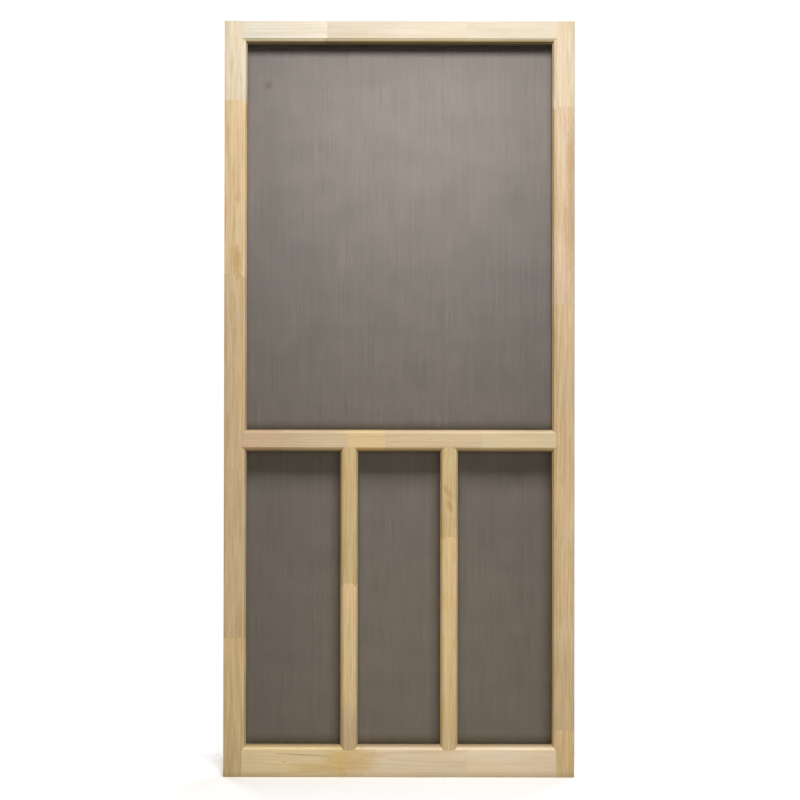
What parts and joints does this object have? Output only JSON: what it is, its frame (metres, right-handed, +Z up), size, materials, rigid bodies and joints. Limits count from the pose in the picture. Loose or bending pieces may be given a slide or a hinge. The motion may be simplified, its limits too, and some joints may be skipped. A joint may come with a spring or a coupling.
{
  "type": "wooden screen door",
  "caption": "Unfinished pine screen door leaf with moulded inner edges, a tall screened upper opening and narrow screened lower openings between upright bars.",
  "frame": {"origin": "bottom end of the left, hinge-side edge face, at mid thickness", "axes": "+X across the width from the hinge edge to the latch edge, +Y from the moulded front to the screened back, +Z up"},
  "size_m": [0.914, 0.0286, 1.971],
  "materials": {
    "pine": "bare, planed",
    "screen_mesh": "matt woven mesh",
    "spline": "matt"
  },
  "bodies": {
    "root": {"left_stile": "pine", "right_stile": "pine", "top_rail": "pine", "middle_rail": "pine", "bottom_rail": "pine", "left_bar": "pine", "right_bar": "pine", "upper_screen": "screen_mesh", "lower_left_screen": "screen_mesh", "lower_middle_screen": "screen_mesh", "lower_right_screen": "screen_mesh", "upper_spline_left": "spline", "upper_spline_right": "spline", "upper_spline_bottom": "spline", "upper_spline_top": "spline", "lower_left_spline_left": "spline", "lower_left_spline_right": "spline", "lower_left_spline_bottom": "spline", "lower_left_spline_top": "spline", "lower_middle_spline_left": "spline", "lower_middle_spline_right": "spline", "lower_middle_spline_bottom": "spline", "lower_middle_spline_top": "spline", "lower_right_spline_left": "spline", "lower_right_spline_right": "spline", "lower_right_spline_bottom": "spline", "lower_right_spline_top": "spline"}
  },
  "joints": []
}
